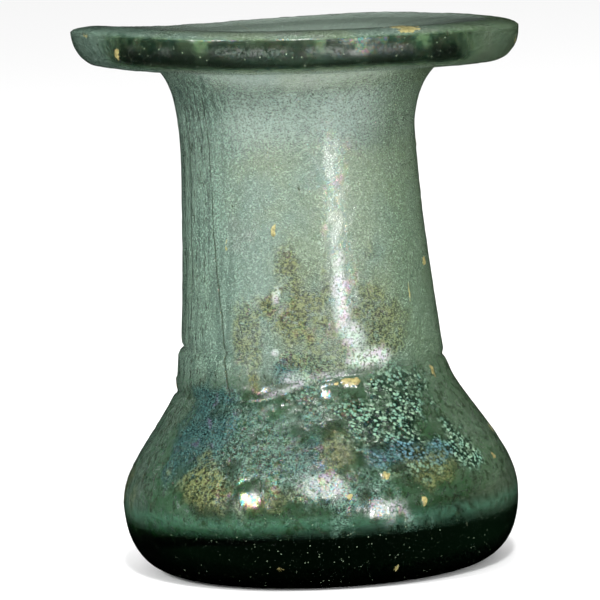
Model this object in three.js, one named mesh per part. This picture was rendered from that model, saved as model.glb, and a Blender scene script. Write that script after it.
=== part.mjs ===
// A small Roman bottle of blue-green glass, free-blown in one piece: a squat bell-shaped body on
// a thick base, a long tubular neck and a wide flat rim. It is open at the mouth and empty.
// Units are millimetres and +Z is up. The bottle stands on z = 0 with its bounding box centred
// on the Z axis.
import * as THREE from "three";
import { mergeVertices } from "three/addons/utils/BufferGeometryUtils.js";

// ---------------------------------------------------------------------------------------------
// Driving dimensions. A radius is measured from the bottle's own axis, and a height from the
// surface that it stands on.

const base = {
  kickRadius: 9.0, // the shallow hollow in the middle of the underside
  kickHeight: 0.8,
  standingRadius: 15.4, // outer edge of the flat ring that the bottle stands on
};
const belly = { radius: 20.85, height: 7.3 };
const shoulder = { radius: 13.9, height: 21.4 }; // where the body turns into the neck
const waist = { radius: 12.3, height: 45.1 }; // the neck's narrowest place
const flare = { radius: 15.8, height: 52.9 }; // where the neck has opened out into the rim
const rim = {
  undersideRadius: 20.3, // where the flat underside turns up into the rounded edge
  undersideHeight: 52.75,
  edgeRadius: 23.35, // the outermost line of the edge, close under the top
  edgeHeight: 56.4,
  crestRadius: 20.4, // the ring where the top is highest
  crestHeight: 57.0,
};
const mouth = { radius: 13.6, height: 56.1 }; // where the dished top turns down into the bore
const bore = { topRadius: 10.6, topHeight: 51.5, footRadius: 10.5, footHeight: 24.0 };
const cavity = {
  shoulderRadius: 14.6,
  shoulderHeight: 14.4,
  bellyRadius: 17.2,
  bellyHeight: 9.4,
  floorRadius: 12.6, // where the rounded corner runs out into the floor
  floorHeight: 5.4,
};

// ---------------------------------------------------------------------------------------------
// What the glassblower's hand did to the turned shape.

const leanPerHeight = -0.023; // the axis leans towards -X
const rimOffset = 0.4; // and the rim sits back a little towards +X
const shoulderTilt = 0.5; // the shoulder is this much higher at +X, and lower at -X
const floorTilt = 1.1; // the cavity's floor likewise
// The rim is wavy. A wave has this many crests round the rim, stands this high at the edge, and
// has its first crest at this angle from +X.
const rimWaves = [
  { crests: 1, height: 0.38, degrees: 169 },
  { crests: 2, height: 0.25, degrees: 38 },
  { crests: 3, height: 0.2, degrees: -48 },
];
const rimBendStart = 46; // the waves and the offset fade in over the neck's flare
const rimBendLength = 7;
const floorBendLength = 8; // the floor's tilt fades out over the cavity's lower wall

const facetsRound = 72;

// ---------------------------------------------------------------------------------------------
// The section. It is a chain of stations, from the middle of the underside, up the outside, over
// the rim and down the inside to the middle of the floor. At a station the section runs in the
// given direction, in degrees from outward (0) to up (90), and holds to it over the reach before
// and the reach after the station. The steps are the facets since the station before.

function station(radius, height, degrees, reachBefore, reachAfter, steps) {
  const along = new THREE.Vector2(
    Math.cos(THREE.MathUtils.degToRad(degrees)),
    Math.sin(THREE.MathUtils.degToRad(degrees)),
  );
  const at = new THREE.Vector2(radius, height);
  return {
    at,
    handleBefore: at.clone().addScaledVector(along, -reachBefore),
    handleAfter: at.clone().addScaledVector(along, reachAfter),
    steps,
  };
}

const outerStations = [
  station(0, base.kickHeight, 0, 0, 3.5, 0),
  station(base.kickRadius, 0, 0, 3.0, 0, 3),
  station(base.standingRadius, 0, 0, 0, 2.4, 1),
  station(belly.radius, belly.height, 90, 5.6, 4.8, 8),
  station(shoulder.radius, shoulder.height, 97, 4.1, 7.6, 8),
  station(waist.radius, waist.height, 90, 3.6, 3.5, 6),
  station(flare.radius, flare.height, 8, 2.4, 1.0, 6),
  station(rim.undersideRadius, rim.undersideHeight, 0, 1.0, 1.7, 1),
  station(rim.edgeRadius, rim.edgeHeight, 90, 2.0, 0.3, 6),
  station(rim.crestRadius, rim.crestHeight, 180, 1.6, 2.0, 3),
];
const innerStations = [
  station(mouth.radius, mouth.height, 190, 2.5, 1.6, 3),
  station(bore.topRadius, bore.topHeight, 270, 2.4, 8.0, 4),
  station(bore.footRadius, bore.footHeight, 272, 8.0, 3.6, 2),
  station(cavity.shoulderRadius, cavity.shoulderHeight, 300, 2.6, 2.2, 5),
  station(cavity.bellyRadius, cavity.bellyHeight, 270, 2.0, 2.2, 3),
  station(cavity.floorRadius, cavity.floorHeight, 180, 2.6, 3.0, 4),
  station(0, cavity.floorHeight, 180, 3.0, 0, 1),
];

function sectionPoints(stations) {
  const points = [stations[0].at];
  for (let i = 1; i < stations.length; i++) {
    const from = stations[i - 1];
    const to = stations[i];
    const stretch = new THREE.CubicBezierCurve(from.at, from.handleAfter, to.handleBefore, to.at);
    points.push(...stretch.getPoints(to.steps).slice(1));
  }
  return points;
}

// ---------------------------------------------------------------------------------------------
// The hand-made shape

const fade = (value, start, length) => THREE.MathUtils.smoothstep(value, start, start + length);

// Moves one point of the turned shape to where it lies on the real bottle.
function bend(point, isInside) {
  const radius = Math.hypot(point.x, point.y);
  const angle = Math.atan2(point.y, point.x);
  const height = point.z;

  const towardsShoulder =
    height < shoulder.height
      ? fade(height, 0, shoulder.height)
      : 1 - fade(height, shoulder.height, waist.height - shoulder.height);
  let rise = shoulderTilt * Math.cos(angle) * towardsShoulder;

  if (isInside) {
    const nearFloor = 1 - fade(height, cavity.floorHeight, floorBendLength);
    rise += (floorTilt * point.x * nearFloor) / cavity.bellyRadius;
  }

  const towardsRim = fade(height, rimBendStart, rimBendLength);
  for (const wave of rimWaves) {
    const crest = THREE.MathUtils.degToRad(wave.degrees);
    const swell = Math.cos(wave.crests * (angle - crest));
    rise += (wave.height * swell * towardsRim * radius) / rim.edgeRadius;
  }

  point.x += leanPerHeight * height + rimOffset * towardsRim;
  point.z += rise;
}

function bottleGeometry() {
  const outside = sectionPoints(outerStations);
  const crestStation = outerStations.at(-1);
  const inside = sectionPoints([crestStation, ...innerStations]).slice(1);
  const section = [...outside, ...inside];

  // LatheGeometry turns the section round +Y, so the solid is then stood up on +Z.
  const turned = new THREE.LatheGeometry(section, facetsRound);
  turned.rotateX(Math.PI / 2);

  const positions = turned.getAttribute("position");
  const point = new THREE.Vector3();
  for (let i = 0; i < positions.count; i++) {
    point.fromBufferAttribute(positions, i);
    bend(point, i % section.length >= outside.length);
    positions.setXYZ(i, point.x, point.y, point.z);
  }

  turned.deleteAttribute("normal");
  turned.deleteAttribute("uv");
  const geometry = mergeVertices(turned);
  geometry.computeBoundingBox();
  const middle = geometry.boundingBox.getCenter(new THREE.Vector3());
  geometry.translate(-middle.x, -middle.y, -geometry.boundingBox.min.z);
  geometry.computeVertexNormals();
  return geometry;
}

// ---------------------------------------------------------------------------------------------
// The model

const weatheredGlass = new THREE.MeshStandardMaterial({
  color: 0x8faa97,
  roughness: 0.3,
  metalness: 0.0,
  transparent: true,
  opacity: 0.45,
});

const bottle = new THREE.Mesh(bottleGeometry(), weatheredGlass);
bottle.name = "glass_bottle";

const model = new THREE.Group();
model.add(bottle);

export default model;
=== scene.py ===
# A small Roman bottle of blue-green glass, free-blown in one piece: weathered, pitted and iridescent,
# with soil in its hollows. The bottle is one closed mesh with the wall's true thickness.
# Shapes are worked out in millimetres and brought into the frame, in metres, at the end.
import itertools
import math
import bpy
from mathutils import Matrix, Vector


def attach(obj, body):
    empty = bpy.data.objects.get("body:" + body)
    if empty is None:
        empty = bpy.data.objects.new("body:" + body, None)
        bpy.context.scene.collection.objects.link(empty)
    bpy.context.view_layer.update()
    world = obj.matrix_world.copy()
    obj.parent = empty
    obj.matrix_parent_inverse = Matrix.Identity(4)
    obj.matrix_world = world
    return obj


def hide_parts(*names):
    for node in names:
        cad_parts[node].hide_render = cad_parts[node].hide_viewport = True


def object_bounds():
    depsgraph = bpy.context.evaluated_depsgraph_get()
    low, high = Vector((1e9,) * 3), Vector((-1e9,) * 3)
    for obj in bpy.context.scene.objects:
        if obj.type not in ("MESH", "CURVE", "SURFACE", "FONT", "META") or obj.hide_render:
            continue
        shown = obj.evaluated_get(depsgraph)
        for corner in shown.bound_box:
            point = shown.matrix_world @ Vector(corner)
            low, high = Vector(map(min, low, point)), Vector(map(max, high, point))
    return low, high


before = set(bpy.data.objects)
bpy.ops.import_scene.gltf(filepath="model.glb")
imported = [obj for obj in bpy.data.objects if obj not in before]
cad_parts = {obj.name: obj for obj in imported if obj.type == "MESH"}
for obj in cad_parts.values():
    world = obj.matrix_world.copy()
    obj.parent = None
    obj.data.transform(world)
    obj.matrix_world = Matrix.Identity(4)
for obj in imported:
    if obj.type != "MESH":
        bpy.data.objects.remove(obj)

from types import SimpleNamespace

import bpy
import numpy as np
from mathutils import Matrix, Vector

NODE = "glass_bottle"
MM = 0.001
SLOT = "weathered_glass"
CAD_LOW, CAD_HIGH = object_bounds()

# ---------------------------------------------------------------------------------------------
# Camera and stage

VIEW_ELEVATION = math.radians(5.8)
VIEW_ROLL = math.radians(-2.42)
VIEW_DISTANCE = 0.403
VIEW_TARGET = Vector((-0.0006, 0.0, 0.0279))
VIEW_LENS = 230.0
SENSOR_WIDTH = 36.0

# The soft boxes: azimuth and elevation in degrees, width and height in metres, and power in watts.
# Azimuth 0 is in front of the bottle, and 90 on its right.
SOFT_BOXES = {
    "key_strip": (32, 6, (0.10, 0.5), 6.5),
    "left_panel": (-45, 29, (0.08, 0.20), 5.5),
    "front_panel": (4, 41, (0.08, 0.16), 5.5),
}
SOFT_BOX_DISTANCE = 0.9
SOFT_BOX_AIM = Vector((0, 0, 0.03))
FLOOR_RADIUS = 20.0
FLOOR_ALBEDO = 0.92


def make_camera():
    data = bpy.data.cameras.new("camera")
    data.lens = VIEW_LENS
    data.sensor_width = SENSOR_WIDTH
    data.clip_start = 0.01
    data.clip_end = 50.0
    camera = bpy.data.objects.new("camera", data)
    bpy.context.scene.collection.objects.link(camera)
    back = Vector((0.0, -math.cos(VIEW_ELEVATION), math.sin(VIEW_ELEVATION)))
    turned = (-back).to_track_quat("-Z", "Y").to_matrix() @ Matrix.Rotation(VIEW_ROLL, 3, "Z")
    camera.location = VIEW_TARGET + back * VIEW_DISTANCE
    camera.rotation_mode = "QUATERNION"
    camera.rotation_quaternion = turned.to_quaternion()
    bpy.context.scene.camera = camera


def soft_light(name, azimuth, elevation, size, power):
    """A rectangular soft box that faces the bottle."""
    data = bpy.data.lights.new(name, "AREA")
    data.shape = "RECTANGLE"
    data.size, data.size_y = size
    data.energy = power
    light = bpy.data.objects.new(name, data)
    a, e = math.radians(azimuth), math.radians(elevation)
    away = Vector((math.sin(a) * math.cos(e), -math.cos(a) * math.cos(e), math.sin(e)))
    light.location = SOFT_BOX_AIM + away * SOFT_BOX_DISTANCE
    light.rotation_mode = "QUATERNION"
    light.rotation_quaternion = away.to_track_quat("Z", "Y")
    light.visible_camera = False
    bpy.context.scene.collection.objects.link(light)


def make_stage():
    world = bpy.data.worlds.new("studio")
    bpy.context.scene.world = world
    world.use_nodes = True
    background = world.node_tree.nodes["Background"]
    background.inputs["Color"].default_value = (1.0, 1.0, 1.0, 1.0)
    background.inputs["Strength"].default_value = 1.0
    world.cycles_visibility.glossy = False

    bpy.ops.mesh.primitive_circle_add(vertices=128, radius=FLOOR_RADIUS, fill_type="NGON")
    floor = bpy.context.object
    floor.name = "floor"
    material = bpy.data.materials.new("pale_floor")
    material.use_nodes = True
    shader = material.node_tree.nodes["Principled BSDF"]
    shader.inputs["Base Color"].default_value = (FLOOR_ALBEDO, FLOOR_ALBEDO, FLOOR_ALBEDO, 1.0)
    shader.inputs["Roughness"].default_value = 0.9
    shader.inputs["Specular IOR Level"].default_value = 0.0
    floor.data.materials.append(material)
    floor.visible_glossy = False

    for name, (azimuth, elevation, size, power) in SOFT_BOXES.items():
        soft_light(name, azimuth, elevation, size, power)


# ---------------------------------------------------------------------------------------------
# Smooth seeded noise, one cell per unit, from -1 to 1

TABLE_SIZE = 4096
FAR = 9.0        # further off than any distance that matters


def noise(points, seed):
    """One seeded value per corner of a grid of unit cells, blended smoothly between the corners."""
    source = np.random.RandomState(seed)
    values = source.uniform(-1, 1, TABLE_SIZE)
    shuffle = source.permutation(TABLE_SIZE)
    cell = np.floor(points).astype(np.int64)
    t = points - cell
    weight = t * t * t * (t * (t * 6 - 15) + 10)
    total = np.zeros(len(points))
    for corner in itertools.product((0, 1), repeat=3):
        i = cell + np.array(corner)
        h = shuffle[i[:, 0] % TABLE_SIZE]
        h = shuffle[(h + i[:, 1]) % TABLE_SIZE]
        h = shuffle[(h + i[:, 2]) % TABLE_SIZE]
        share = np.prod(np.where(corner, weight, 1 - weight), axis=1)
        total += values[h] * share
    return total


def layered_noise(points, seed, octaves=3):
    """Noise with finer and fainter copies of itself laid over it."""
    total = np.zeros(len(points))
    strength = 0.0
    for octave in range(octaves):
        total += noise(points * 2**octave, seed + octave) / 2**octave
        strength += 1 / 2**octave
    return total / strength


def grains(points, size, seed):
    """Gap, 0 in the middle of a grain and 1 between grains, and each grain's own random tone."""
    source = np.random.RandomState(seed)
    shuffle = source.permutation(TABLE_SIZE)
    offsets = source.uniform(0, 1, (TABLE_SIZE, 3))
    tones = source.uniform(0, 1, TABLE_SIZE)
    cell = np.floor(points / size).astype(np.int64)
    nearest = np.full(len(points), FAR)
    tone = np.zeros(len(points))
    for step in itertools.product((-1, 0, 1), repeat=3):
        i = cell + np.array(step)
        h = shuffle[i[:, 0] % TABLE_SIZE]
        h = shuffle[(h + i[:, 1]) % TABLE_SIZE]
        h = shuffle[(h + i[:, 2]) % TABLE_SIZE]
        away = np.linalg.norm(i + offsets[h] - points / size, axis=1)
        closer = away < nearest
        tone = np.where(closer, tones[h], tone)
        nearest = np.minimum(nearest, away)
    return fade(nearest, 0.15, 0.6), tone


def fade(value, start, length):
    """0 before a start, rising smoothly to 1 over a length."""
    t = np.clip((value - start) / length, 0, 1)
    return t * t * (3 - 2 * t)


# ---------------------------------------------------------------------------------------------
# The section: a chain of stations from the middle of the underside, up the outside, over the rim
# and down the inside to the middle of the floor. A station is radius, height, direction in degrees
# from outward (0) to up (90), the reach over which the section holds to it before and after, and
# the row spacing of the stretch that ends there, in millimetres.

KICK_HEIGHT = 0.8
SHOULDER_HEIGHT = 21.4
WAIST_HEIGHT = 45.1
RIM_EDGE_RADIUS = 23.35
CAVITY_RADIUS = 17.2
FLOOR_HEIGHT = 5.4
CURVE_SAMPLES = 400
FINE = 0.30
MIDDLING = 0.46
MEDIUM = 0.8
COARSE = 1.5

OUTER_STATIONS = [
    (0.0, KICK_HEIGHT, 0, 0, 3.5, 0),
    (9.0, 0.0, 0, 3.0, 1.0, COARSE),
    (15.4, 0.0, 0, 1.0, 2.4, COARSE),
    (20.85, 7.3, 90, 5.6, 4.8, MEDIUM),
    (13.9, SHOULDER_HEIGHT, 97, 4.1, 7.6, FINE),
    (12.3, WAIST_HEIGHT, 90, 3.6, 3.5, MIDDLING),
    (15.8, 52.9, 8, 2.4, 1.0, MIDDLING),
    (20.3, 52.75, 0, 1.0, 1.7, MEDIUM),
    (RIM_EDGE_RADIUS, 56.4, 90, 2.0, 0.3, FINE),
    (20.4, 57.0, 180, 1.6, 2.0, MIDDLING),
]
INNER_STATIONS = [
    (13.6, 56.1, 190, 2.5, 1.6, MEDIUM),
    (10.6, 51.5, 270, 2.4, 8.0, COARSE),
    (10.5, 24.0, 272, 8.0, 3.6, COARSE),
    (14.6, 14.4, 300, 2.6, 2.2, MEDIUM),
    (CAVITY_RADIUS, 9.4, 270, 2.0, 2.2, MEDIUM),
    (12.6, FLOOR_HEIGHT, 180, 2.6, 3.0, MEDIUM),
    (0.0, FLOOR_HEIGHT, 180, 3.0, 0, COARSE),
]


def stretch(start, end):
    """Points of the curve from one station to the next, evenly spaced, without the first."""
    def heading(station):
        turn = math.radians(station[2])
        return np.array([math.cos(turn), math.sin(turn)])

    p0, p3 = np.array(start[:2]), np.array(end[:2])
    p1 = p0 + heading(start) * start[4]
    p2 = p3 - heading(end) * end[3]
    t = np.linspace(0, 1, CURVE_SAMPLES)[:, None]
    curve = (1 - t) ** 3 * p0 + 3 * (1 - t) ** 2 * t * p1 + 3 * (1 - t) * t**2 * p2 + t**3 * p3
    travelled = np.concatenate([[0], np.cumsum(np.linalg.norm(np.diff(curve, axis=0), axis=1))])
    steps = max(1, round(travelled[-1] / end[5]))
    wanted = np.linspace(0, travelled[-1], steps + 1)[1:]
    return np.stack([np.interp(wanted, travelled, curve[:, k]) for k in (0, 1)], axis=1)


def section(stations):
    rows = [np.array([stations[0][:2]])]
    rows += [stretch(a, b) for a, b in zip(stations, stations[1:])]
    return np.concatenate(rows)


# ---------------------------------------------------------------------------------------------
# What the glassblower's hand did to the turned shape. A wave of the rim is how many crests it has,
# its swell in millimetres and the angle of a crest in degrees.

LEAN = -0.023
RIM_OFFSET = 0.4
SHOULDER_TILT = 0.5
FLOOR_TILT = 1.1
RIM_WAVES = [(1, 0.38, 169), (2, 0.25, 38), (3, 0.2, -48)]
RIM_BEND_START, RIM_BEND_LENGTH = 46.0, 7.0
FLOOR_BEND_LENGTH = 8.0


def bend(radius, angle, height, inside):
    """Where a point of the turned shape lies on the real bottle."""
    towards_shoulder = np.where(
        height < SHOULDER_HEIGHT,
        fade(height, 0, SHOULDER_HEIGHT),
        1 - fade(height, SHOULDER_HEIGHT, WAIST_HEIGHT - SHOULDER_HEIGHT),
    )
    rise = SHOULDER_TILT * np.cos(angle) * towards_shoulder
    near_floor = (1 - fade(height, FLOOR_HEIGHT, FLOOR_BEND_LENGTH)) * inside
    rise = rise + FLOOR_TILT * radius * np.cos(angle) * near_floor / CAVITY_RADIUS
    towards_rim = fade(height, RIM_BEND_START, RIM_BEND_LENGTH)
    for crests, swell, degrees in RIM_WAVES:
        wave = swell * np.cos(crests * (angle - math.radians(degrees)))
        rise = rise + wave * towards_rim * radius / RIM_EDGE_RADIUS
    x = radius * np.cos(angle) + LEAN * height + RIM_OFFSET * towards_rim
    return np.stack([x, radius * np.sin(angle), height + rise], axis=-1)


# ---------------------------------------------------------------------------------------------
# Weathering: how much of each kind covers each point, from 0 to 1. Angles are in degrees from +X,
# so the front is at -90 and the left at -180.

def angle_from(degrees, centre):
    """How far an angle lies from a centre, in degrees, the short way round."""
    return (degrees - centre + 180) % 360 - 180


def rightward(degrees, start, length):
    """0 left of an angle, rising to 1 over a length to the right of it."""
    return fade(angle_from(degrees, start), 0, length)


def leftward(degrees, start, length):
    """0 right of an angle, rising to 1 over a length to the left of it."""
    return fade(-angle_from(degrees, start), 0, length)


def patch(degrees, height, centre, half_angle, middle, half_height, ragged, edge=0.35):
    """An oval patch with a ragged edge."""
    across = angle_from(degrees, centre) / half_angle
    along = (height - middle) / half_height
    reach = 1 - np.hypot(across, along) + ragged
    return fade(reach, 0, edge)


# Soil clinging to the outside: the angle in degrees, and the height, width and length in millimetres.
SOIL_SPECKS = [
    (-156, 56.2, 1.4, 0.6), (-141, 54.7, 0.7, 0.8), (-11, 54.7, 0.7, 1.1), (-60, 56.9, 3.0, 0.6),
    (-104, 36.3, 0.3, 1.5), (-129, 34.8, 0.35, 1.1), (-38, 28.9, 0.35, 2.0), (-19, 31.5, 0.6, 0.6),
    (-74, 20.6, 3.4, 0.6), (-29, 20.2, 0.5, 1.7), (-7, 13.6, 0.5, 1.0), (-23, 11.3, 0.7, 0.5),
    (-70, 11.4, 0.5, 0.6), (-82, 9.8, 0.4, 0.4), (-60, 8.6, 0.5, 0.8), (-85, 6.9, 0.5, 0.6),
    (-69, 2.0, 0.5, 0.4), (-103, 2.7, 0.5, 0.5),
]
STRAY_SPECKS = 55


def soil_field(radius, degrees, height, points):
    """Ochre soil in small ragged specks: those in front, then strays on the sides and back."""
    source = np.random.RandomState(11)
    ranges = [(0, 180), (1, 56.5), (0.2, 0.6), (0.2, 1.2)]
    strays = [tuple(source.uniform(*span) for span in ranges) for _ in range(STRAY_SPECKS)]
    wobble = layered_noise(points * 1.8, 301)
    field = np.zeros(len(height))
    for centre, middle, width, length in SOIL_SPECKS + strays:
        across = np.radians(angle_from(degrees, centre)) * radius / (width / 2 + 0.15)
        along = (height - middle) / (length / 2 + 0.15)
        field = np.maximum(field, fade(1.15 - np.hypot(across, along) + wobble, 0, 0.9))
    return field


# Places below are an angle and a height, in degrees and millimetres: half-angle and half-height
# follow, and then how strong the patch is.
CRUST = [
    (-63, 17.0, 22, 4.6, 1.0), (-52, 20.0, 20, 2.4, 0.7), (-37, 13.0, 8, 2.4, 0.9),
    (-62, 11.8, 14, 1.8, 0.5), (-97, 19.2, 12, 1.8, 0.5), (60, 13.0, 40, 5.0, 0.7),
    (140, 15.0, 22, 4.0, 0.7),
]
SPECKLE = [
    (-114, 15.0, 38, 7.0, 1.0), (-84, 10.0, 28, 3.4, 0.9), (-100, 22.5, 18, 2.6, 1.0),
    (-62, 24.5, 16, 3.0, 0.5), (90, 13.0, 60, 7.0, 0.8), (170, 13.0, 30, 5.0, 0.6),
]
TEAL = [
    (-134, 15.6, 18, 5.4, 1.0), (-66, 13.4, 12, 1.8, 1.0), (-50, 12.9, 6, 1.2, 0.9),
    (-103, 22.4, 10, 1.8, 0.9), (-92, 14.0, 8, 3.0, 0.5),
    (-76, 8.8, 8, 1.6, 0.6), (100, 14.0, 30, 5.0, 0.8),
]
OLIVE = [
    (-96, 28.0, 19, 7.0, 1.0), (-60, 27.0, 20, 6.0, 0.75), (-118, 24.6, 14, 4.6, 0.7),
    (-86, 24.0, 30, 2.6, 0.6),
    (-126, 11.0, 14, 3.6, 1.0), (-104, 9.6, 14, 1.8, 0.6), (-84, 14.0, 7, 3.4, 0.8),
    (-58, 11.4, 15, 2.2, 0.8), (-116, 21.2, 6, 2.0, 0.9),
    (70, 27.0, 30, 6.0, 0.7), (160, 10.0, 40, 4.0, 0.8),
]
# Frost and painted highlights: the patches along the fold and the two lowest, on the belly, are painted
# glints where the soft boxes reflect; the others are frosted weathering.
FROST_AND_GLINTS = [
    (-104, 29.8, 3.0, 1.4, 0.8), (-75, 28.6, 5, 5.4, 0.8), (-71, 25.0, 8, 2.2, 0.8),
    (-64, 22.8, 11, 1.2, 1.0), (-106, 24.0, 4, 0.6, 1.0), (-98, 21.4, 9, 0.8, 0.6),
    (-88, 11.0, 9, 1.6, 0.5), (-72, 8.6, 9, 1.4, 0.6), (80, 25.0, 14, 3.0, 0.7),
]
# Patches of painted light on the rim's front, pale green as if lit through the rim: an angle and a
# half-angle.
PAINTED_LIGHT_RIM_PATCHES = [(-114, 3.0), (-84, 2.0), (-74, 2.5), (-57, 4.0), (20, 6.0), (85, 9.0), (150, 7.0)]

# Thin lines in the glass: a crack in the body, drawn-out cords and scratches. Angle and height of
# both ends, and the width.
LINES = [
    (-112, 16.0, -109, 13.0, 0.09), (-109, 13.0, -107, 9.8, 0.11), (-139, 50.0, -137, 36.0, 0.09),
    (-137, 36.0, -131, 25.0, 0.11), (-131, 25.0, -127, 20.0, 0.12), (-156, 49.0, -156, 27.0, 0.10),
    (-166, 46.0, -164, 26.0, 0.12), (-161, 19.0, -155, 7.0, 0.12), (-150, 12.0, -147, 7.0, 0.10),
    (-169, 17.0, -166, 5.0, 0.12), (-101, 46.1, -79, 46.4, 0.06), (40, 45.0, 44, 27.0, 0.10),
    (120, 48.0, 117, 26.0, 0.10), (165, 44.0, 170, 25.0, 0.10),
]


def patches(places, degrees, height, ragged):
    field = np.zeros(len(height))
    for centre, middle, half_angle, half_height, strength in places:
        oval = patch(degrees, height, centre, half_angle, middle, half_height, ragged, edge=0.6)
        field = np.maximum(field, oval * strength)
    return field


LINE_WANDER = 0.12


def line_distance(radius, degrees, height, points):
    """How far outside the nearest thin line a point lies, in millimetres; negative within it."""
    wander = LINE_WANDER * layered_noise(points * 0.8, 401)
    nearest = np.full(len(height), FAR)
    for start_angle, start_height, end_angle, end_height, width in LINES:
        across = np.radians(angle_from(degrees, start_angle)) * radius + wander
        along = height - start_height
        run = math.radians(end_angle - start_angle) * radius
        rise = end_height - start_height
        share = np.clip((across * run + along * rise) / (run**2 + rise**2), 0, 1)
        away = np.hypot(across - share * run, along - share * rise) - width
        nearest = np.minimum(nearest, away)
    return nearest


# Heights at which the outside changes, in millimetres
FILM_FOOT = 5.5
BODY_TOP = 19.0
FLARE_TOP = 53.0
RIM_MIDDLE = 54.6
RIM_CREST = 56.0


def film_amount(degrees, height):
    """How much pale film lies outside, and where the rim's front shows dark green instead."""
    sides = fade(np.abs(angle_from(degrees, -88)), 14, 40)
    neck = 0.86 + 0.1 * sides
    in_body = 1 - fade(height, BODY_TOP, 4)
    body = 0.12 + 0.5 * fade(np.abs(angle_from(degrees, -95)), 44, 26)
    amount = neck * (1 - in_body) + body * in_body
    rim = fade(height, FLARE_TOP, 1.0)
    left_end = leftward(degrees, -137, 14) * rightward(degrees, 140, 40)
    right_end = rightward(degrees, -48, 14) * leftward(degrees, 40, 40)
    ends = np.maximum(left_end, right_end)
    # Painted light: the upper half of the rim's front and its pale patches get more film, pale green as
    # if lit through the rim's top.
    painted_light_upper = fade(height, RIM_MIDDLE, 1.0)
    rim_side = 0.03 + 0.15 * painted_light_upper
    for centre, half_angle in PAINTED_LIGHT_RIM_PATCHES:
        near = 1 - fade(np.abs(angle_from(degrees, centre)), 0.2 * half_angle, half_angle)
        rim_side = np.maximum(rim_side, 0.6 * near * (0.15 + 0.85 * painted_light_upper))
    rim_side = rim_side + (0.7 - rim_side) * ends
    crest = fade(height, RIM_CREST, 0.6)
    amount = amount * (1 - rim) + rim * (rim_side * (1 - crest) + 0.95 * crest)
    return amount * fade(height, FILM_FOOT, 3.0), rim * (1 - crest) * (1 - ends)


def frost_and_glint_amount(degrees, height, ragged):
    """Frosted places and painted highlights: frost patches, among them painted glints by the fold and on
    the belly, a painted glint along the lip over the fold and a faint speckled ring of painted highlight
    round the rim's front.
    """
    lip = np.exp(-(((height - crease_height(degrees) - 0.35) / 0.22) ** 2))
    lip *= fade(-np.abs(angle_from(degrees, -92)), -22, 8)
    ring = np.exp(-(((height - 55.1) / 0.32) ** 2))
    ring *= fade(-np.abs(angle_from(degrees, -98)), -40, 10) * fade(ragged, -0.25, 0.5)
    places = patches(FROST_AND_GLINTS, degrees, height, ragged * 0.7)
    return np.maximum(places, np.maximum(0.8 * lip, 0.2 * ring))


def weathering(radius, angle, height, inside):
    """The amount of every covering at each point, by name; line is a distance instead."""
    degrees = np.degrees(angle)
    points = np.stack([radius * np.cos(angle), radius * np.sin(angle), height], axis=1)
    ragged = layered_noise(points * 0.45, 21, 4) * 0.9
    outer, inner = 1 - inside, inside
    cavity = inner * (1 - fade(height, SHOULDER_HEIGHT - 1, 3.0))
    floor = inner * (1 - fade(height, FLOOR_HEIGHT + 0.3, 1.2))
    low = 1 - fade(height, SHOULDER_HEIGHT + 0.5, 2.0)

    grain_gap, grain_tone = grains(points, 0.56, 83)
    film, green = film_amount(degrees, height)
    olive_side = 0.9 * rightward(degrees, -66, 30) * leftward(degrees, 60, 40)
    olive_body = 0.8 * (1 - fade(height, 18, 6))
    left_edge = leftward(degrees, -135, 12) * rightward(degrees, 160, 20)
    right_edge = 0.5 * rightward(degrees, -25, 20) * (degrees < 30)
    return {
        "film": np.clip(outer * film, 0, 1),
        "green": outer * green,
        "tint": np.maximum(olive_side, olive_body) * outer,
        "cool": leftward(degrees, -112, 24) * rightward(degrees, 150, 40) * outer,
        # Painted light: where the neck flares out under the rim and faces down, the film is made paler.
        "top": outer * fade(height, 43, 4) * (1 - fade(height, 49.5, 2.0)),
        "funnel": inner * fade(height, 53.5, 2.0),
        "milky": cavity * np.clip(0.85 + 0.5 * layered_noise(points * 0.3, 41), 0, 1),
        # Painted light: a band of green light just above the dark base.
        "strip": outer * fade(height, 6.3, 0.6) * (1 - fade(height, 7.2, 1.4)),
        "body": outer * (1 - fade(height, 19.5, 3)) * fade(height, FILM_FOOT, 2),
        "calm": outer * (1 - fade(height, 11.0, 2.5)),
        "crust": patches(CRUST, degrees, height, ragged) * low * outer,
        "grain": (1 - grain_gap) * (0.35 + 0.65 * grain_tone),
        "speckle": patches(SPECKLE, degrees, height, ragged) * outer,
        "teal": patches(TEAL, degrees, height, ragged),
        "olive": patches(OLIVE, degrees, height, ragged),
        # Frost, partly painted highlights: glints by the fold and on the belly, and a ring round the
        # rim.
        "frost": frost_and_glint_amount(degrees, height, ragged) * outer,
        "soil": soil_field(radius, degrees, height, points) * outer,
        "dashes": np.maximum(left_edge, right_edge) * outer * fade(height, 8, 3),
        "wrinkles": patch(degrees, height, -42, 36, 48.0, 5.0, ragged * 0.5, edge=0.5) * outer,
        "line": np.where(inside > 0.5, FAR, line_distance(radius, degrees, height, points)),
        "dark": np.maximum(outer * (1 - fade(height, 0.02, 0.5)), floor),
    }


# ---------------------------------------------------------------------------------------------
# Relief, in millimetres along the surface's normal

FOLD_DEPTH, FOLD_WIDTH = 0.26, 0.34
HIGH_FOLD_HEIGHT, HIGH_FOLD_DEPTH, HIGH_FOLD_WIDTH = 24.1, 0.34, 0.36
COLLAR_SWELL = 0.30
RIM_SWELL = 0.5
RIM_TUCK = 0.15
RIM_SIDE_RADIUS = 19.0


def crease_height(degrees):
    """The fold where the neck was set on the shoulder: it climbs from the left to the right."""
    return 19.3 + 1.9 * fade(angle_from(degrees, -98), -18, 37)


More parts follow.
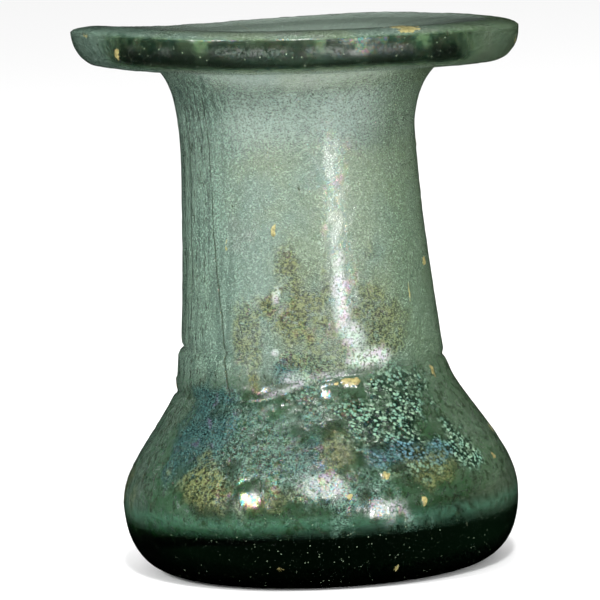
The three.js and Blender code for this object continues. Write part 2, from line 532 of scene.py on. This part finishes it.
def folds(degrees, height):
    """The fold round the foot of the neck, and on the left a swollen collar under a second fold."""
    left = leftward(degrees, -112, 14) * rightward(degrees, 140, 30)
    low_fold = np.exp(-(((height - crease_height(degrees)) / FOLD_WIDTH) ** 2))
    high_fold = np.exp(-(((height - HIGH_FOLD_HEIGHT) / HIGH_FOLD_WIDTH) ** 2))
    collar = fade(height, 19.7, 0.8) * (1 - fade(height, 23.2, 1.1))
    return left * (COLLAR_SWELL * collar - HIGH_FOLD_DEPTH * high_fold) - FOLD_DEPTH * low_fold


def rolled_rim(radius, angle, height):
    """The rounded front of the rim: swollen below the middle and tucked in at the top."""
    front = fade(np.sin(-angle), 0.3, 0.5) * (radius > RIM_SIDE_RADIUS) * fade(height, 51, 1.5)
    swell = RIM_SWELL * np.exp(-(((height - 54.0) / 0.9) ** 2))
    tuck = RIM_TUCK * np.exp(-(((height - 56.6) / 0.5) ** 2))
    return front * (swell - tuck)


def relief(radius, angle, height, inside, cover):
    """Outside: blown unevenness, folds, rim, soil, frost and painted-glint places, pitted rim, lumps and
    crust, in that order.
    """
    degrees = np.degrees(angle)
    points = np.stack([radius * np.cos(angle), radius * np.sin(angle), height], axis=1)
    outer = 0.10 * layered_noise(points * 0.11, 51) + 0.03 * layered_noise(points * 0.5, 61)
    outer += folds(degrees, height) + rolled_rim(radius, angle, height)
    outer += 0.12 * cover["soil"] + 0.05 * cover["frost"] * np.abs(noise(points * 2.5, 66))
    outer += 0.045 * layered_noise(points * 2.0, 71) * fade(height, FLARE_TOP, 2)
    outer += 0.025 * noise(points * 1.6, 73) * fade(height, 8, 3)
    outer += 0.16 * cover["crust"] * cover["grain"]
    uneven = np.maximum(cover["olive"], np.maximum(cover["teal"], cover["speckle"]))
    outer += 0.06 * uneven * noise(points * 2.1, 95)

    inner = 0.06 * layered_noise(points * 0.4, 91)
    flat_foot = fade(height, 0.05, 1.0)
    return np.where(inside > 0.5, inner, outer * flat_foot)


# ---------------------------------------------------------------------------------------------
# Mesh

ROUND_STEPS = 400
FRONT_DENSITY = 0.35


def bottle_mesh():
    outside = section(OUTER_STATIONS)
    inside = section([OUTER_STATIONS[-1]] + INNER_STATIONS)[1:]
    rows = np.concatenate([outside, inside])
    is_inside = (np.arange(len(rows)) >= len(outside)).astype(float)
    along = np.gradient(rows, axis=0)
    along /= np.linalg.norm(along, axis=1, keepdims=True)
    normals = np.stack([along[:, 1], -along[:, 0]], axis=1)

    # Each row is a ring, apart from the first and the last, which are points on the axis. The
    # steps round it are shorter in front.
    even = np.linspace(-math.pi, math.pi, ROUND_STEPS, endpoint=False)
    turns = even - FRONT_DENSITY * np.sin(even) - math.pi / 2
    turns = (turns + math.pi) % (2 * math.pi) - math.pi
    repeats = np.full(len(rows), ROUND_STEPS)
    repeats[[0, -1]] = 1
    row_of = np.repeat(np.arange(len(rows)), repeats)
    angle = np.concatenate([[0.0], np.tile(turns, len(rows) - 2), [0.0]])
    radius, height = rows[row_of].T
    inner = is_inside[row_of]

    plain = bend(radius, angle, height, inner)
    low, high = plain.min(0), plain.max(0)
    shift = np.array([-(low[0] + high[0]) / 2, -(low[1] + high[1]) / 2, -low[2]])

    cover = weathering(radius, angle, height, inner)
    lift = relief(radius, angle, height, inner, cover)
    lift[[0, -1]] = 0
    radius = radius + normals[row_of, 0] * lift
    height = height + normals[row_of, 1] * lift
    points = (bend(radius, angle, height, inner) + shift) * MM
    points = np.clip(points, np.array(CAD_LOW), np.array(CAD_HIGH))

    here = np.arange(ROUND_STEPS)
    after = (here + 1) % ROUND_STEPS
    faces = [(0, 1 + j, 1 + i) for i, j in zip(here.tolist(), after.tolist())]
    for row in range(len(rows) - 3):
        a = 1 + row * ROUND_STEPS
        b = a + ROUND_STEPS
        faces += np.stack([a + here, a + after, b + after, b + here], axis=1).tolist()
    last = 1 + (len(rows) - 3) * ROUND_STEPS
    top = len(points) - 1
    faces += [(top, last + i, last + j) for i, j in zip(here.tolist(), after.tolist())]

    mesh = bpy.data.meshes.new("bottle")
    mesh.from_pydata(points.tolist(), [], faces)
    mesh.update()
    mesh.shade_smooth()
    for name, values in cover.items():
        attribute = mesh.attributes.new(name, "FLOAT", "POINT")
        attribute.data.foreach_set("value", values.astype(np.float32))
    return mesh


# ---------------------------------------------------------------------------------------------
# Material

class Nodes:
    """Short calls that add shader nodes to one material. A value is a number, a tuple or a socket."""

    def __init__(self, tree):
        self.tree = tree
        self.place = self.add("ShaderNodeTexCoord").outputs["Object"]

    def add(self, kind, **settings):
        node = self.tree.nodes.new(kind)
        for name, value in settings.items():
            setattr(node, name, value)
        return node

    def put(self, socket, value):
        if isinstance(value, bpy.types.NodeSocket):
            self.tree.links.new(value, socket)
        else:
            socket.default_value = value

    def math(self, operation, a, b=0.0, clamp=False):
        node = self.add("ShaderNodeMath", operation=operation, use_clamp=clamp)
        self.put(node.inputs[0], a)
        self.put(node.inputs[1], b)
        return node.outputs[0]

    def times(self, a, b):
        return self.math("MULTIPLY", a, b)

    def plus(self, a, b):
        return self.math("ADD", a, b)

    def minus(self, a, b):
        return self.math("SUBTRACT", a, b)

    def most(self, first, *others):
        for other in others:
            first = self.math("MAXIMUM", first, other)
        return first

    def ramp(self, value, low, high):
        """0 below low, 1 above high, smooth in between; low may be the larger."""
        node = self.add("ShaderNodeMapRange", interpolation_type="SMOOTHSTEP")
        self.put(node.inputs["Value"], value)
        node.inputs["From Min"].default_value = low
        node.inputs["From Max"].default_value = high
        return node.outputs["Result"]

    def cover(self, name):
        return self.add("ShaderNodeAttribute", attribute_name=name).outputs["Fac"]

    def in_mm(self, stretch, tilt):
        """Place in millimetres, turned by a tilt in degrees and drawn out along each axis."""
        node = self.add("ShaderNodeMapping", vector_type="TEXTURE")
        self.put(node.inputs["Vector"], self.place)
        node.inputs["Rotation"].default_value = (0, math.radians(tilt), 0)
        node.inputs["Scale"].default_value = [s * MM for s in stretch]
        return node.outputs["Vector"]

    def noise(self, per_mm, detail=3.0, stretch=(1, 1, 1), roughness=0.5, tilt=0):
        """Noise from 0 to 1 with this many features per millimetre."""
        node = self.add("ShaderNodeTexNoise")
        self.put(node.inputs["Vector"], self.in_mm(stretch, tilt))
        node.inputs["Scale"].default_value = per_mm
        node.inputs["Detail"].default_value = detail
        node.inputs["Roughness"].default_value = roughness
        return node.outputs["Fac"]

    def cells(self, per_mm, stretch=(1, 1, 1), tilt=0):
        """Distance to the nearest cell's middle, and two random values per cell."""
        node = self.add("ShaderNodeTexVoronoi")
        self.put(node.inputs["Vector"], self.in_mm(stretch, tilt))
        node.inputs["Scale"].default_value = per_mm
        split = self.add("ShaderNodeSeparateColor")
        self.put(split.inputs["Color"], node.outputs["Color"])
        return node.outputs["Distance"], split.outputs["Red"], split.outputs["Green"]

    def spots(self, per_mm, share, size, stretch=(1, 1, 1), tilt=0):
        """Round spots in a share of the cells, each of its own size."""
        distance, pick, tone = self.cells(per_mm, stretch, tilt)
        chosen = self.ramp(pick, 1 - share, 1 - share + 0.02)
        reach = self.minus(self.times(self.plus(tone, 0.5), size), distance)
        return self.times(chosen, self.ramp(reach, 0.0, size * 0.4))

    def mix(self, factor, a, b):
        node = self.add("ShaderNodeMix", data_type="RGBA")
        self.put(node.inputs["Factor"], factor)
        self.put(node.inputs["A"], a)
        self.put(node.inputs["B"], b)
        return node.outputs["Result"]

    def bump(self, height, distance, normal=None):
        node = self.add("ShaderNodeBump")
        node.inputs["Distance"].default_value = distance * MM
        self.put(node.inputs["Height"], height)
        if normal is not None:
            self.put(node.inputs["Normal"], normal)
        return node.outputs["Normal"]


class Layers:
    """Thin coverings laid one over another: their colour together, and how much they hide."""

    def __init__(self, nodes, colour, hidden):
        self.nodes = nodes
        self.colour = colour
        self.hidden = hidden

    def cover(self, colour, opacity):
        n = self.nodes
        through = n.times(self.hidden, n.minus(1.0, opacity))
        self.hidden = n.plus(through, opacity)
        share = n.math("DIVIDE", opacity, n.math("MAXIMUM", self.hidden, 0.001))
        self.colour = n.mix(share, self.colour, colour)


# Colours of the coverings. Where a covering wanders between two, it has a pair.
COLOURS = {
    "film_blue": (0.155, 0.22, 0.18),
    "film_green": (0.175, 0.225, 0.15),
    "film_pinkish": (0.19, 0.20, 0.18),
    # Painted light: paler film where the flare under the rim faces down.
    "painted_light_under_rim": (0.27, 0.35, 0.30),
    "film_olive": (0.065, 0.112, 0.046),
    "film_left": (0.115, 0.19, 0.145),
    "film_streak": (0.03, 0.065, 0.05),
    # Painted shade in the hollows and painted light on the tops of the film's fine relief.
    "painted_shade_hollow": (0.03, 0.06, 0.04),
    "painted_light_fleck": (0.34, 0.43, 0.36),
    "rim_dark": (0.035, 0.10, 0.045),
    "rim_pale": (0.12, 0.22, 0.10),
    "funnel": (0.30, 0.38, 0.32),
    # Painted light: the green band above the base.
    "strip": (0.04, 0.12, 0.075),
    "milk_green": (0.11, 0.40, 0.13),
    "milk_pale": (0.19, 0.44, 0.22),
    "murk": (0.010, 0.018, 0.007),
    "speckle_dark": (0.003, 0.010, 0.007),
    "speckle_pale": (0.095, 0.185, 0.135),
    "teal_dark": (0.002, 0.007, 0.008),
    "teal_pale": (0.045, 0.115, 0.105),
    "violet_dark": (0.005, 0.007, 0.012),
    "violet_pale": (0.09, 0.10, 0.14),
    "olive_dark": (0.010, 0.013, 0.003),
    "olive_pale": (0.135, 0.155, 0.058),
    # Painted shade: the near-black gaps between the beads of crust.
    "painted_shade_crust_gap": (0.002, 0.010, 0.006),
    "bead_sage": (0.22, 0.35, 0.23),
    "bead_green": (0.14, 0.28, 0.20),
    "bead_blue": (0.06, 0.15, 0.22),
    # Frost colours, also those of the painted glints and of the painted highlight round the rim.
    "frost_glint_green": (0.40, 0.52, 0.42),
    "frost_glint_lilac": (0.48, 0.44, 0.50),
    "soil_dark": (0.11, 0.095, 0.028),
    "soil_pale": (0.36, 0.31, 0.12),
    "dust": (0.030, 0.038, 0.032),
    "dots": (0.20, 0.26, 0.17),
    "pits": (0.025, 0.035, 0.02),
    "dark": (0.006, 0.007, 0.005),
    "clear": (1.0, 1.0, 1.0),
    "absorbed": (0.0, 0.22, 0.07),
}
COVERINGS = (
    "film", "green", "tint", "cool", "top", "funnel", "milky", "strip", "body", "calm", "crust",
    "grain", "speckle", "teal", "olive", "frost", "soil", "dashes", "wrinkles", "line", "dark",
)
GLASS_IOR = 1.5
ABSORPTION_DENSITY = 195.0
CLEAR_ROUGHNESS, RIM_ROUGHNESS = 0.13, 0.22
SKIN_ROUGHNESS = 0.22
SHEEN_IOR = 1.38
SHEEN_THINNEST, SHEEN_RANGE = 180.0, 560.0
LINE_EDGE = 0.03


def tone(name):
    return (*COLOURS[name], 1.0)


def shared_patterns(n):
    """The amount of each covering, and the patterns that colour, clearness and relief share."""
    p = SimpleNamespace(**{name: n.cover(name) for name in COVERINGS})
    p.fine = n.noise(3.6, detail=3, roughness=0.7)
    p.micro = n.noise(8.0, detail=2, stretch=(1.6, 1.6, 0.8), roughness=0.6, tilt=12)
    p.mottle = n.noise(1.2, detail=5, roughness=0.65)
    p.coarse = n.noise(0.5, detail=4, roughness=0.6)
    p.clouds = n.noise(0.13, detail=4)
    p.streaks = n.noise(1.6, detail=3, stretch=(1, 1, 14))
    p.grit = n.noise(2.6, detail=4, roughness=0.7)
    p.texture = n.plus(n.times(p.micro, 0.7), n.plus(n.times(p.fine, 0.2), n.times(p.grit, 0.1)))
    round_pits = n.spots(1.7, 0.16, 0.16, stretch=(1, 1, 2.2), tilt=-18)
    long_pits = n.spots(2.8, 0.8, 0.30, stretch=(1, 1, 4.0))
    p.pits = n.most(round_pits, n.times(long_pits, p.dashes))
    p.lines = n.ramp(p.line, LINE_EDGE, -LINE_EDGE)
    return p


def film_skin(n, p):
    """The weathering film outside: pale, thin and uneven."""
    pattern = n.plus(n.times(p.fine, 0.5), n.plus(n.times(p.mottle, 0.3), n.times(p.streaks, 0.2)))
    strength = n.times(p.film, n.plus(0.7, n.times(n.ramp(pattern, 0.36, 0.64), 0.3)))
    colour = n.mix(n.ramp(p.clouds, 0.4, 0.6), tone("film_blue"), tone("film_green"))
    colour = n.mix(n.ramp(n.noise(0.2, detail=3), 0.55, 0.75), colour, tone("film_pinkish"))
    # Painted light: paler film on the down-facing flare under the rim.
    colour = n.mix(p.top, colour, tone("painted_light_under_rim"))
    colour = n.mix(n.times(p.tint, 0.85), colour, tone("film_olive"))
    colour = n.mix(n.times(p.cool, 0.85), colour, tone("film_left"))
    streaked = n.times(n.ramp(p.streaks, 0.50, 0.40), n.times(p.cool, 0.6))
    colour = n.mix(streaked, colour, tone("film_streak"))
    # Painted shade in the hollows and painted light on the tops of the fine relief, whose bump comes
    # from the same texture.
    colour = n.mix(n.times(n.ramp(p.texture, 0.50, 0.40), 0.65), colour, tone("painted_shade_hollow"))
    colour = n.mix(n.times(n.ramp(p.texture, 0.52, 0.62), 0.5), colour, tone("painted_light_fleck"))
    # The rim's front: dark and pale green at random, shown most on its upper half and in patches as
    # painted light through the rim.
    rim_colour = n.mix(n.ramp(p.mottle, 0.4, 0.6), tone("rim_dark"), tone("rim_pale"))
    return Layers(n, n.mix(p.green, colour, rim_colour), n.times(strength, 0.8))


def add_stains(n, p, skin):
    """Film in the mouth, a painted band of green light above the base, and the milky stain inside the
    body.
    """
    skin.cover(tone("funnel"), n.times(p.funnel, 0.3))
    # Painted light: a mottled band of green light just above the base.
    light_band = n.times(p.strip, n.ramp(p.mottle, 0.3, 0.55))
    skin.cover(tone("strip"), n.times(light_band, 0.5))
    milk = n.times(p.milky, n.ramp(p.mottle, 0.25, 0.5))
    milk_colour = n.mix(n.ramp(p.coarse, 0.38, 0.62), tone("milk_green"), tone("milk_pale"))
    skin.cover(milk_colour, n.times(milk, 0.85))


def add_murk_and_speckle(n, p, skin):
    murk = n.times(p.body, n.ramp(n.noise(1.0, detail=5, roughness=0.8), 0.50, 0.60))
    skin.cover(tone("murk"), n.times(murk, 0.65))
    pale = n.ramp(n.plus(n.times(p.grit, 0.5), n.times(p.micro, 0.5)), 0.42, 0.60)
    colour = n.mix(pale, tone("speckle_dark"), tone("speckle_pale"))
    skin.cover(colour, n.times(p.speckle, n.ramp(n.plus(p.fine, p.mottle), 0.75, 1.05)))


def add_teal(n, p, skin):
    """Dark teal patches, violet in places."""
    pale = n.ramp(p.texture, 0.42, 0.60)
    teal = n.mix(pale, tone("teal_dark"), tone("teal_pale"))
    violet = n.mix(pale, tone("violet_dark"), tone("violet_pale"))
    colour = n.mix(n.ramp(n.noise(0.8, detail=3), 0.58, 0.70), teal, violet)
    strength = n.times(p.teal, n.ramp(n.plus(p.fine, p.coarse), 0.70, 0.95))
    skin.cover(colour, n.times(strength, 0.9))


def add_olive(n, p, skin):
    ragged = n.ramp(n.noise(1.5, detail=5, roughness=0.75), 0.32, 0.52)
    p.olive_strength = n.times(p.olive, ragged)
    pale = n.ramp(n.plus(n.times(p.grit, 0.6), n.times(p.micro, 0.4)), 0.43, 0.58)
    colour = n.mix(pale, tone("olive_dark"), tone("olive_pale"))
    skin.cover(colour, n.times(p.olive_strength, 0.88))


def add_crust(n, p, skin):
    """Beads of crust with painted shade in the gaps between them, bluish where a teal patch lies under
    them.
    """
    gap, cell_tone, _ = n.cells(3.2, stretch=(1.3, 1.3, 0.9), tilt=20)
    ragged_gap = n.plus(gap, n.times(n.minus(p.micro, 0.5), 1.1))
    from_cells = n.times(n.ramp(ragged_gap, 0.78, 0.30), 0.7)
    from_grains = n.times(n.ramp(p.grain, 0.1, 0.6), 0.3)
    p.bead = n.times(n.plus(from_cells, from_grains), n.plus(0.45, n.times(cell_tone, 0.9)))
    colour = n.mix(n.ramp(p.coarse, 0.4, 0.6), tone("bead_sage"), tone("bead_green"))
    colour = n.mix(n.times(p.teal, 0.8), colour, tone("bead_blue"))
    # Painted shade: the gaps between the beads are near black.
    colour = n.mix(n.ramp(p.bead, 0.25, 0.8), tone("painted_shade_crust_gap"), colour)
    p.crust_strength = n.times(p.crust, n.ramp(n.plus(p.mottle, p.coarse), 0.75, 1.0))
    skin.cover(colour, n.times(p.crust_strength, 0.95))


def add_frost_glints_and_soil(n, p, skin):
    sparkle = n.ramp(n.noise(4.0, detail=4, roughness=0.7), 0.40, 0.55)
    p.frost_strength = n.times(p.frost, sparkle)
    colour = n.mix(n.ramp(p.mottle, 0.4, 0.6), tone("frost_glint_green"), tone("frost_glint_lilac"))
    # Frost with painted glints and highlights, pale green to lilac.
    skin.cover(colour, n.times(p.frost_strength, 0.75))
    crumbled = n.plus(p.soil, n.times(n.minus(p.fine, 0.5), 0.8))
    p.soil_strength = n.ramp(crumbled, 0.35, 0.65)
    colour = n.mix(n.ramp(p.fine, 0.3, 0.7), tone("soil_dark"), tone("soil_pale"))
    skin.cover(colour, n.times(p.soil_strength, 0.85))


def add_marks(n, p, skin):
    """Dust and light dots on bare glass, dark pits and lines, and the dark underside."""
    bare = n.plus(n.ramp(p.film, 0.4, 0.0), p.green)
    dust = n.ramp(n.noise(5.0, detail=3, roughness=0.8), 0.60, 0.70)
    skin.cover(tone("dust"), n.times(n.times(dust, bare), 0.5))
    skin.cover(tone("dots"), n.times(n.times(n.spots(3.4, 0.2, 0.17), bare), 0.8))
    skin.cover(tone("pits"), n.most(n.times(p.pits, 0.8), n.times(p.lines, 0.75)))
    skin.cover(tone("dark"), p.dark)


def fine_relief(n, p):
    """The normal with the relief that is too fine for the mesh."""
    covered = n.most(p.crust, p.speckle, p.olive, p.teal)
    restless = n.minus(1.0, n.times(p.calm, 0.8))
    worn = n.times(n.plus(n.times(p.film, 0.3), covered), restless)
    normal = n.bump(n.times(p.texture, worn), 0.12)
    normal = n.bump(n.times(p.bead, n.times(p.crust_strength, restless)), 0.14, normal)
    ridges = n.math("ABSOLUTE", n.minus(n.noise(1.1, detail=3, stretch=(1, 1, 0.45)), 0.5))
    normal = n.bump(n.times(n.ramp(ridges, 0.0, 0.08), p.wrinkles), 0.07, normal)
    normal = n.bump(n.times(p.streaks, 0.5), 0.04, normal)
    return n.bump(n.times(n.minus(1.0, n.most(p.pits, p.lines)), 0.6), 0.10, normal)


def skin_roughness(n, p):
    roughness = n.plus(SKIN_ROUGHNESS, n.times(n.most(p.speckle, p.olive_strength), 0.06))
    return n.plus(roughness, n.times(n.plus(p.soil_strength, p.frost_strength), 0.2))


def glass_material():
    """Clear green glass under its coverings, both with a thin iridescent film."""
    material = bpy.data.materials.new(SLOT)
    material.use_nodes = True
    n = Nodes(material.node_tree)
    p = shared_patterns(n)
    skin = film_skin(n, p)
    add_stains(n, p, skin)
    add_murk_and_speckle(n, p, skin)
    add_teal(n, p, skin)
    add_olive(n, p, skin)
    add_crust(n, p, skin)
    add_frost_glints_and_soil(n, p, skin)
    add_marks(n, p, skin)

    glass = n.tree.nodes["Principled BSDF"]
    glass.inputs["Base Color"].default_value = tone("clear")
    glass.inputs["Transmission Weight"].default_value = 1.0
    n.put(glass.inputs["Roughness"], n.plus(CLEAR_ROUGHNESS, n.times(p.green, RIM_ROUGHNESS)))
    weathered = n.add("ShaderNodeBsdfPrincipled")
    n.put(weathered.inputs["Base Color"], skin.colour)
    n.put(weathered.inputs["Roughness"], skin_roughness(n, p))
    normal = fine_relief(n, p)
    sheen = n.plus(SHEEN_THINNEST, n.times(p.mottle, SHEEN_RANGE))
    sheen = n.times(n.ramp(p.coarse, 0.42, 0.6), sheen)
    for shader in (glass, weathered):
        shader.inputs["IOR"].default_value = GLASS_IOR
        n.put(shader.inputs["Thin Film Thickness"], sheen)
        shader.inputs["Thin Film IOR"].default_value = SHEEN_IOR
        n.put(shader.inputs["Normal"], normal)
    both = n.add("ShaderNodeMixShader")
    n.put(both.inputs[0], skin.hidden)
    n.put(both.inputs[1], glass.outputs["BSDF"])
    n.put(both.inputs[2], weathered.outputs["BSDF"])
    volume = n.add("ShaderNodeVolumeAbsorption")
    volume.inputs["Color"].default_value = tone("absorbed")
    volume.inputs["Density"].default_value = ABSORPTION_DENSITY
    output = n.tree.nodes["Material Output"]
    n.put(output.inputs["Surface"], both.outputs[0])
    n.put(output.inputs["Volume"], volume.outputs["Volume"])
    return material


def make_bottle():
    bottle = bpy.data.objects.new("blown_glass_bottle", bottle_mesh())
    bpy.context.scene.collection.objects.link(bottle)
    bottle.data.materials.append(glass_material())
    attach(bottle, "root")
    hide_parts(NODE)


make_camera()
make_stage()
make_bottle()

LIGHT_BOUNCES = 12
scene = bpy.context.scene
scene.view_settings.view_transform = "Standard"
scene.cycles.use_denoising = True
scene.cycles.max_bounces = LIGHT_BOUNCES
scene.cycles.transmission_bounces = LIGHT_BOUNCES
scene.cycles.glossy_bounces = 4
scene.cycles.diffuse_bounces = 1
